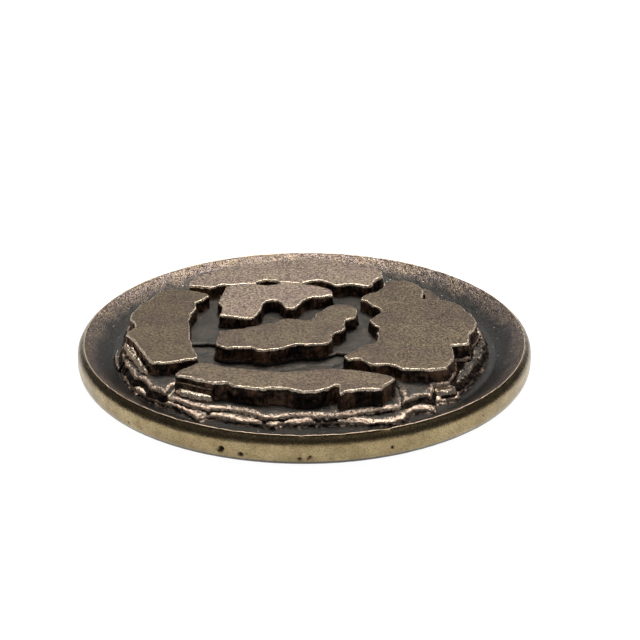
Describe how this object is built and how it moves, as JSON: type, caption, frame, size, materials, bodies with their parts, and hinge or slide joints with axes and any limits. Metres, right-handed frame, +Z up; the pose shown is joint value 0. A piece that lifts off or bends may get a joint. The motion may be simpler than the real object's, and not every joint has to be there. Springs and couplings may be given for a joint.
{
  "type": "cast relief medallion",
  "caption": "Round cast bronze medallion lying flat: a raised rim and dished face around a stepped relief of broken flat-topped slabs with deep channels.",
  "frame": {"origin": "middle of the flat back, on the surface that the medallion lies on", "axes": "+Z up through the face, -Y towards the front slab, +X towards the right slab"},
  "size_m": [0.0508, 0.0508, 0.005],
  "materials": {
    "blank_bronze": "cast bronze, brushed and lightly waxed on the outer edge, brown in the dish",
    "dark_bronze": "cast bronze with a dark patina left in the recesses",
    "slab_bronze": "cast bronze, satin brown on the flats and rubbed bright along the edges"
  },
  "bodies": {
    "root": {"coin_blank": "blank_bronze", "lower_terrace": "dark_bronze", "upper_terrace": "dark_bronze", "channel_floor": "dark_bronze", "back_slab": "slab_bronze", "left_slab": "slab_bronze", "centre_back_slab": "slab_bronze", "centre_front_slab": "slab_bronze", "right_slab": "slab_bronze", "front_slab": "slab_bronze", "left_shoulder": "slab_bronze", "left_rib": "dark_bronze", "front_left_lower_stratum": "slab_bronze", "front_left_upper_stratum": "slab_bronze", "right_shoulder": "dark_bronze", "right_back_ledge": "slab_bronze", "right_nub": "slab_bronze"}
  },
  "joints": []
}
